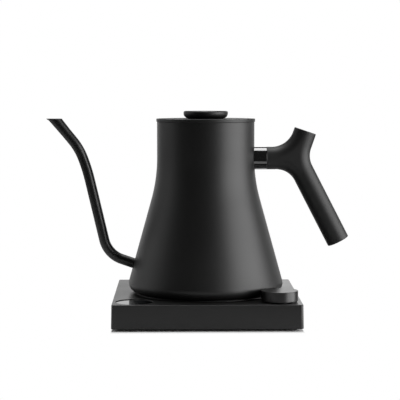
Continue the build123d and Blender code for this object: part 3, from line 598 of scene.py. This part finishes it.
def make_spout(finishes):
    """Gooseneck: a circle carried along straight runs and tangent bends, outside and back inside. Past the line's
    first point its radius swells as a trumpet, whose lengthwise lines all end at one level. Its root ends within
    the kettle's wall."""
    line = softened(SPOUT_LINE, [0, *SPOUT_BENDS, 0], spacing=1.5, flank=0.5)
    step = np.gradient(line, axis=0)
    tangent = step / np.linalg.norm(step, axis=1, keepdims=True)
    first, last = line[1] - line[0], line[-1] - line[-2]
    tangent[0], tangent[-1] = first / np.linalg.norm(first), last / np.linalg.norm(last)
    side = np.stack([-tangent[:, 1], tangent[:, 0]], -1)
    turn = np.linspace(0, 2 * math.pi, 64, endpoint=False)
    swell_way, swell_out = softened(LIP_LINE, [0, LIP_BEND_R, 0], spacing=0.3).T

    def rings(radius):
        xz = line[:, None, :] + side[:, None, :] * (radius * np.cos(turn))[None, :, None]
        y = np.broadcast_to(radius * np.sin(turn), xz.shape[:2])
        return np.stack([xz[..., 0], y, xz[..., 1]], -1)

    def trumpet(radius, height):
        """Rings from the tip to the line's first point. At each turn they share out evenly the way w at which
        z = first z - w x tangent z + side z x (radius + swell of w) x cos(turn) reaches the tip's height."""
        way = np.linspace(0, LIP_LINE[-1][0], 521)
        reach = radius + np.interp(way, swell_way, swell_out)
        level = line[0, 1] - way[:, None] * tangent[0, 1] + side[0, 1] * reach[:, None] * np.cos(turn)
        end = np.array([np.interp(height, column, way) for column in level.T])
        way = np.linspace(1, 0, 32, endpoint=False)[:, None] * end
        reach = radius + np.interp(way, swell_way, swell_out)
        xz = line[0] - way[..., None] * tangent[0] + (reach * np.cos(turn))[..., None] * side[0]
        return np.stack([xz[..., 0], reach * np.sin(turn), xz[..., 1]], -1)

    def wall_root(tube):
        """The root's ring slid along the tube's axis until it lies in the middle of the kettle's wall."""
        way = np.array([tangent[-1, 0], 0, tangent[-1, 1]])
        start = tube[-2]
        slide = np.zeros(len(turn))
        for _ in range(12):
            at = start + slide[:, None] * way
            slide += (np.hypot(at[:, 0], at[:, 1]) - wall_radius(at[:, 2], WALL / 2)) / abs(way[0])
        tube[-1] = start + slide[:, None] * way
        return tube

    tip, soft = SPOUT_HIGH[2], TIP_SOFTENING
    outer = np.concatenate([trumpet(SPOUT_R, tip - soft), wall_root(rings(SPOUT_R))])
    inner = np.concatenate([trumpet(SPOUT_BORE_R, tip - soft), wall_root(rings(SPOUT_BORE_R))])
    rim_outer, rim_inner = trumpet(SPOUT_R - soft, tip)[:1], trumpet(SPOUT_BORE_R + soft, tip)[:1]
    tube = np.concatenate([outer[::-1], rim_outer, rim_inner, inner])
    faces = grid_faces(len(tube), len(turn), True, True)
    mesh = tidy_mesh("gooseneck", tube.reshape(-1, 3), faces.tolist())
    return finish_piece(as_piece("gooseneck", mesh, 50), "kettle", [finishes["spout"]], "spout")


def make_collar(finishes):
    """Round collar between kettle and handle: its root follows the kettle's wall, its end is square."""
    axis_z = (COLLAR_LOW[2] + COLLAR_HIGH[2]) / 2
    radius, end = (COLLAR_HIGH[2] - COLLAR_LOW[2]) / 2, COLLAR_HIGH[0]
    count = 96
    turn = np.linspace(0, 2 * math.pi, count, endpoint=False)
    share = np.array([0.0, 0.5, 1.0])[:, None]
    y, z = share * radius * np.cos(turn), axis_z + share * radius * np.sin(turn)
    root = np.stack([np.sqrt(wall_radius(z, WALL / 2) ** 2 - y ** 2), y, z], -1)
    edge = softened([(radius, end - 5), (radius, end), (0, end)], [0, 0.25, 0], flank=0.1)
    rest = np.stack([np.broadcast_to(edge[:, 1:], (len(edge), count)), edge[:, :1] * np.cos(turn),
                     axis_z + edge[:, :1] * np.sin(turn)], -1)
    points = np.concatenate([root, rest])
    mesh = tidy_mesh("collar", points.reshape(-1, 3), grid_faces(len(points), count, False, True).tolist())
    return finish_piece(as_piece("collar", mesh), "kettle", [finishes["lacquer"]],
                        "handle_collar")


# ---------------------------------------------------------------- the handle
def arm_way(lean):
    """Unit direction in the XZ plane that leans from +Z towards +X."""
    return np.array([math.sin(lean), math.cos(lean)])


def arm_end(length, edge, cap_r, seat):
    """Stations and radii of an arm's end: softened edge, flat rim, and the seat that its cap fills."""
    points = [(length - 4, HANDLE_R), (length, HANDLE_R), (length, cap_r), (length - seat, cap_r),
              (length - seat, 0)]
    return softened(points, [0, edge, 0.1, 0, 0], flank=0.1)[::-1]


def make_handle(finishes):
    """Three round arms in one plane. Each stretch of outline between two arms is straight, then a tangent arc,
    then straight, and is carried inwards and upwards along a quarter circle on both sides:
    point = outline + inward way x radius x (1 - cos v), and y = radius x sin v. Flat webs close the middle."""
    collar_arm = (np.array([-1.0, 0.0]), arm_end(HUB[0] - GRIP_LOW[0], 0.2, 5.05, 2.0))
    stub_arm = (arm_way(STUB_LEAN), arm_end(STUB_LENGTH, 0.7, 8.7, 3.2))
    grip_arm = (arm_way(GRIP_LEAN), arm_end(GRIP_LENGTH, 0.7, 8.7, 3.2))
    sides = [(collar_arm, stub_arm, 22.0), (stub_arm, grip_arm, 20.6), (grip_arm, collar_arm, 19.9)]

    def tangent_station(side):
        half = math.acos(side[0][0] @ side[1][0]) / 2
        return (HANDLE_R + side[2]) / math.tan(half)

    stations = [tangent_station(side) for side in sides]
    shared = {0: max(stations[2], stations[0]), 1: max(stations[0], stations[1]),
              2: max(stations[1], stations[2])}
    lift = np.radians(np.concatenate([np.linspace(-90, 90, 61), [-89, 89]]))
    lift.sort()
    points, faces, webs = [], [], {1: [], -1: []}
    offset = 0
    for number, (first, second, bend) in enumerate(sides):
        station = stations[number]
        half = math.acos(first[0] @ second[0]) / 2
        middle = (first[0] + second[0]) / np.linalg.norm(first[0] + second[0])
        centre = HUB + middle * (HANDLE_R + bend) / math.sin(half)

        def straight(arm, other, limit):
            """Outline and inward way of one arm's straight stretch, from its end to the bend."""
            way, end = arm
            aside = other[0] - (other[0] @ way) * way
            aside /= np.linalg.norm(aside)
            run = np.linspace(end[-1, 0], limit, 12)[1:]
            last = np.linspace(limit, station, 4)[1:] if station < limit - 1e-6 else np.zeros(0)
            place = np.concatenate([end[:, 0], run, last])
            radius = np.concatenate([end[:, 1], np.full(len(run) + len(last), HANDLE_R)])
            outline = HUB + place[:, None] * way + radius[:, None] * aside
            return outline, np.repeat(-aside[None], len(place), 0), radius, len(end) + len(run) - 1

        line_a, way_a, radius_a, from_a = straight(first, second, shared[number])
        line_b, way_b, radius_b, from_b = straight(second, first, shared[(number + 1) % 3])
        sweep = math.pi - 2 * half
        share = np.linspace(0, 1, 25)[1:-1, None]
        turned = (way_a[0] * np.sin((1 - share) * sweep) + way_b[0] * np.sin(share * sweep)) / math.sin(sweep)
        outline = np.vstack([line_a, centre + bend * turned, line_b[::-1]])
        way = np.vstack([way_a, turned, way_b[::-1]])
        radius = np.concatenate([radius_a, np.full(len(turned), HANDLE_R), radius_b[::-1]])
        xz = outline[:, None] + way[:, None] * (radius[:, None] * (1 - np.cos(lift)))[..., None]
        y = radius[:, None] * np.sin(lift)
        points.append(np.stack([xz[..., 0], y, xz[..., 1]], -1).reshape(-1, 3))
        faces.append(grid_faces(len(outline), len(lift), False, False) + offset)
        rows = np.arange(from_a, len(outline) - from_b)
        webs[1].append(rows * len(lift) + len(lift) - 1 + offset)
        webs[-1].append(rows * len(lift) + offset)
        offset += len(outline) * len(lift)
    loops = [np.concatenate(webs[1]), np.concatenate(webs[-1])]
    mesh = tidy_mesh("handle", np.vstack(points),
                     [*np.vstack(faces).tolist(), *[loop.tolist() for loop in loops]])
    handle = as_piece("handle", mesh, 40)
    set_low, set_high = corners("set_screw")
    screw_x = (set_low[0] + set_high[0]) / 2
    cut(handle, drill(2.2, 120, set_low[2] + 8, (screw_x, 0, 0), count=48))
    return finish_piece(handle, "kettle", [finishes["handle"]], "handle_grip")


def make_cap(finishes, name, node, lean, length):
    """Plug in an arm's end: a shallow disc with a softened edge, turned about the arm's axis."""
    radius, depth = 8.5, 2.9
    profile = [(0, length - depth), (radius, length - depth), (radius, length), (0, length)]
    outline = softened(profile, [0, 0.2, 0.35, 0])
    turn = np.linspace(0, 2 * math.pi, 96, endpoint=False)
    way = arm_way(lean)
    aside = np.array([way[1], -way[0]])
    flat = outline[:, 1][:, None, None] * way + (outline[:, :1] * np.cos(turn))[..., None] * aside
    xz = HUB + flat
    y = outline[:, :1] * np.sin(turn)
    points = np.stack([xz[..., 0], y, xz[..., 1]], -1).reshape(-1, 3)
    mesh = tidy_mesh(name, points, grid_faces(len(outline), len(turn), False, True).tolist())
    return finish_piece(as_piece(name, mesh), "kettle", [finishes["handle"]], node)


# ---------------------------------------------------------------- the lid
def make_lid(finishes):
    """Pressed cap of the lid, with its three vents towards the spout."""
    radius, low, top, skin = LID_HIGH[0], LID_LOW[2], LID_HIGH[2], 0.8
    profile = [(0, top), (radius, top), (radius, low), (radius - skin, low), (radius - skin, top - skin),
               (0, top - skin)]
    outline = softened(profile, [0, 0.2, 0.25, 0.25, 0.1, 0])
    lid = as_piece("lid", turned_mesh("lid", outline, count=256))
    vents = [drill(1.3, top - 3, top, (30 * math.cos(a), 30 * math.sin(a), 0), count=32, countersink=0.2)
             for a in np.radians([165, 180, 195])]
    return finish_piece(cut(lid, *vents), "lid", [finishes["lid"]], "lid_plate")


def make_knob(finishes):
    """Knob: a flat disc with a softened brim, whose side curves in to the lid."""
    radius, low, top = KNOB_HIGH[0], KNOB_LOW[2], KNOB_HIGH[2]
    foot = 16.2
    side = np.linspace(0, 1, 15)[:, None]
    brim, heel = np.array([radius, top - 2.1]), np.array([foot, low])
    bulge = np.array([radius - 0.1, low + 1.0])
    flank = brim * (1 - side) ** 2 + 2 * bulge * side * (1 - side) + heel * side ** 2
    crown = softened([(0, top), (radius, top), tuple(brim)], [0, 1.5, 0])
    outline = np.vstack([crown, flank[1:], [(0, low)]])
    knob = as_piece("knob", turned_mesh("knob", outline, count=160))
    return finish_piece(knob, "lid", [finishes["knob"]], "lid_knob")


def make_lid_core(finishes):
    """Moulded plug under the cap, with the groove of its gasket."""
    top, low, shoulder = CORE_HIGH[2], CORE_LOW[2], SHELL_HIGH[2]
    plug, brim, groove, wall, ceiling = 44.6, CORE_HIGH[0], 43.2, 3.4, 186.8
    profile = [(0, top), (brim, top), (brim, shoulder), (plug, shoulder), (plug, 181.6), (groove, 181.6),
               (groove, 178.0), (plug, 178.0), (plug, low), (plug - wall, low), (plug - wall, ceiling),
               (0, ceiling)]
    outline = softened(profile, [0, 0.1, 0.1, 0.3, 0.2, 0, 0, 0.2, 0.8, 0.8, 1.0, 0])
    core = as_piece("lid_plug", turned_mesh("lid_plug", outline, count=192))
    return finish_piece(core, "lid", [finishes["inner_plastic"]], "lid_core")


def make_gasket(finishes):
    """Silicone lip round the plug."""
    inner, middle, lip = 43.25, 44.7, GASKET_HIGH[0]
    low, high = GASKET_LOW[2], GASKET_HIGH[2]
    profile = [(inner, low), (middle, low), (lip, low + 1.45), (lip, low + 2.05), (middle, high), (inner, high)]
    outline = softened(profile, [0.1, 0.3, 0.25, 0.25, 0.3, 0.1], closed=True, flank=0.03)
    gasket = as_piece("lid_gasket_ring", turned_mesh("lid_gasket_ring", outline, count=192))
    return finish_piece(gasket, "lid", [finishes["grey_silicone"]], "lid_gasket")


# ---------------------------------------------------------------- floor, light and camera
def make_floor():
    """Pale round floor under the kettle, reaching further on the spout's side. Seen directly it carries a painted
    white glow, as white as the room beyond it, which fades out under the base and over ten millimetres along its
    front and back, so that only there its own lit shadow shows."""
    reach, middle, count = 0.32, -0.14, 96
    fade_from, fade_beside, fade_before = HOUSING_HALF - 1, HOUSING_HALF + 0.5, HOUSING_HALF + 10
    turn = np.linspace(0, 2 * math.pi, count, endpoint=False)
    rim = np.stack([middle + reach * np.cos(turn), reach * np.sin(turn), np.zeros(count)], -1)
    mesh = bpy.data.meshes.new("floor")
    mesh.from_pydata(rim.tolist(), [], [list(range(count))])
    floor = bpy.data.objects.new("floor", mesh)
    bpy.context.scene.collection.objects.link(floor)
    finish = Finish("pale_floor", Base_Color=shade(0.8), Roughness=0.9, Specular_IOR_Level=0.0)
    place = finish.place()
    across = finish.node("ShaderNodeSeparateXYZ", sockets={0: place}, output=0)
    deep = finish.node("ShaderNodeSeparateXYZ", sockets={0: place}, output=1)
    beside = finish.node("ShaderNodeMapRange", sockets={0: across.maths("ABSOLUTE", across),
                                                        1: fade_from * MM, 2: fade_beside * MM})
    before = finish.node("ShaderNodeMapRange", sockets={0: deep.maths("ABSOLUTE", deep),
                                                        1: fade_from * MM, 2: fade_before * MM})
    # painted light: share of the painted glow, none under the base, full just beside it and ten millimetres before
    # and behind it; where it falls short the floor's own lit shadow shows
    painted_glow_share = beside.maths("MAXIMUM", beside, before)
    seen = finish.node("ShaderNodeLightPath")
    glow = finish.node("ShaderNodeEmission", sockets={0: shade(1.0), 1: 1.0})
    lit = Term(finish, finish.shader.outputs[0])
    mixed = finish.node("ShaderNodeMixShader", sockets={0: painted_glow_share * seen, 1: lit, 2: glow})
    finish.tree.links.new(mixed.socket, finish.tree.nodes["Material Output"].inputs[0])
    mesh.materials.append(finish.material)


def softbox(name, azimuth, elevation, distance, width, height, radiance, aim=(0.0, 0.0, 0.1)):
    """A rectangular area light round the aim, at distances in metres and angles in degrees: azimuth 0 is the
    camera's side and 90 is the handle's."""
    light = bpy.data.lights.new(name, "AREA")
    light.shape = "RECTANGLE"
    light.size = width
    light.size_y = height
    light.energy = radiance * math.pi * width * height
    round_z, up = math.radians(azimuth), math.radians(elevation)
    back = Vector((math.sin(round_z) * math.cos(up), -math.cos(round_z) * math.cos(up), math.sin(up)))
    box = bpy.data.objects.new(name, light)
    box.location = Vector(aim) + back * distance
    box.rotation_mode = "QUATERNION"
    box.rotation_quaternion = (-back).to_track_quat("-Z", "Y")
    box.visible_camera = False
    bpy.context.scene.collection.objects.link(box)


def make_light():
    softbox("overhead", 180, 76, 2.2, 1.4, 1.5, 5.5)
    softbox("right_side", 71, 8, 1.4, 1.6, 1.4, 5.0)
    softbox("left_side", -100, 20, 1.4, 1.2, 1.5, 0.8)
    softbox("backdrop", 180, 8, 2.6, 5.0, 1.2, 1.0)
    softbox("back_right", 171, 8, 2.6, 0.7, 1.2, 0.65)
    world = bpy.data.worlds.new("studio")
    bpy.context.scene.world = world
    world.use_nodes = True
    tree = world.node_tree
    tree.nodes.clear()
    seen = tree.nodes.new("ShaderNodeLightPath")
    share = tree.nodes.new("ShaderNodeMixShader")
    room = tree.nodes.new("ShaderNodeBackground")
    white = tree.nodes.new("ShaderNodeBackground")
    output = tree.nodes.new("ShaderNodeOutputWorld")
    room.inputs[0].default_value = shade(0.04)
    white.inputs[0].default_value = shade(1.0)
    tree.links.new(seen.outputs["Is Camera Ray"], share.inputs[0])
    tree.links.new(room.outputs[0], share.inputs[1])
    tree.links.new(white.outputs[0], share.inputs[2])
    tree.links.new(share.outputs[0], output.inputs[0])


def make_camera():
    """Long lens, a little above the lid, looking slightly down and to the right."""
    scene = bpy.context.scene
    data = bpy.data.cameras.new("camera")
    data.lens = 126.21
    data.clip_end = 50
    camera = bpy.data.objects.new("camera", data)
    camera.location = Vector((-25.99, -1343.64, 217.11)) * MM
    yaw, pitch = math.radians(0.8753), math.radians(4.434)
    ahead = Vector((math.sin(yaw) * math.cos(pitch), math.cos(yaw) * math.cos(pitch), -math.sin(pitch)))
    camera.rotation_mode = "QUATERNION"
    camera.rotation_quaternion = ahead.to_track_quat("-Z", "Y")
    scene.collection.objects.link(camera)
    scene.camera = camera
    scene.view_settings.view_transform = "Standard"


def build():
    finishes = make_finishes()
    dress_cad_nodes(finishes)
    make_housing(finishes)
    make_tower(finishes)
    make_display(finishes)
    make_gland(finishes)
    make_dial(finishes)
    make_shell(finishes)
    make_spout(finishes)
    make_collar(finishes)
    make_handle(finishes)
    make_cap(finishes, "stub_plug", "stub_cap", STUB_LEAN, STUB_LENGTH)
    make_cap(finishes, "grip_plug", "grip_cap", GRIP_LEAN, GRIP_LENGTH)
    make_lid(finishes)
    make_knob(finishes)
    make_lid_core(finishes)
    make_gasket(finishes)
    make_floor()
    make_light()
    make_camera()


build()
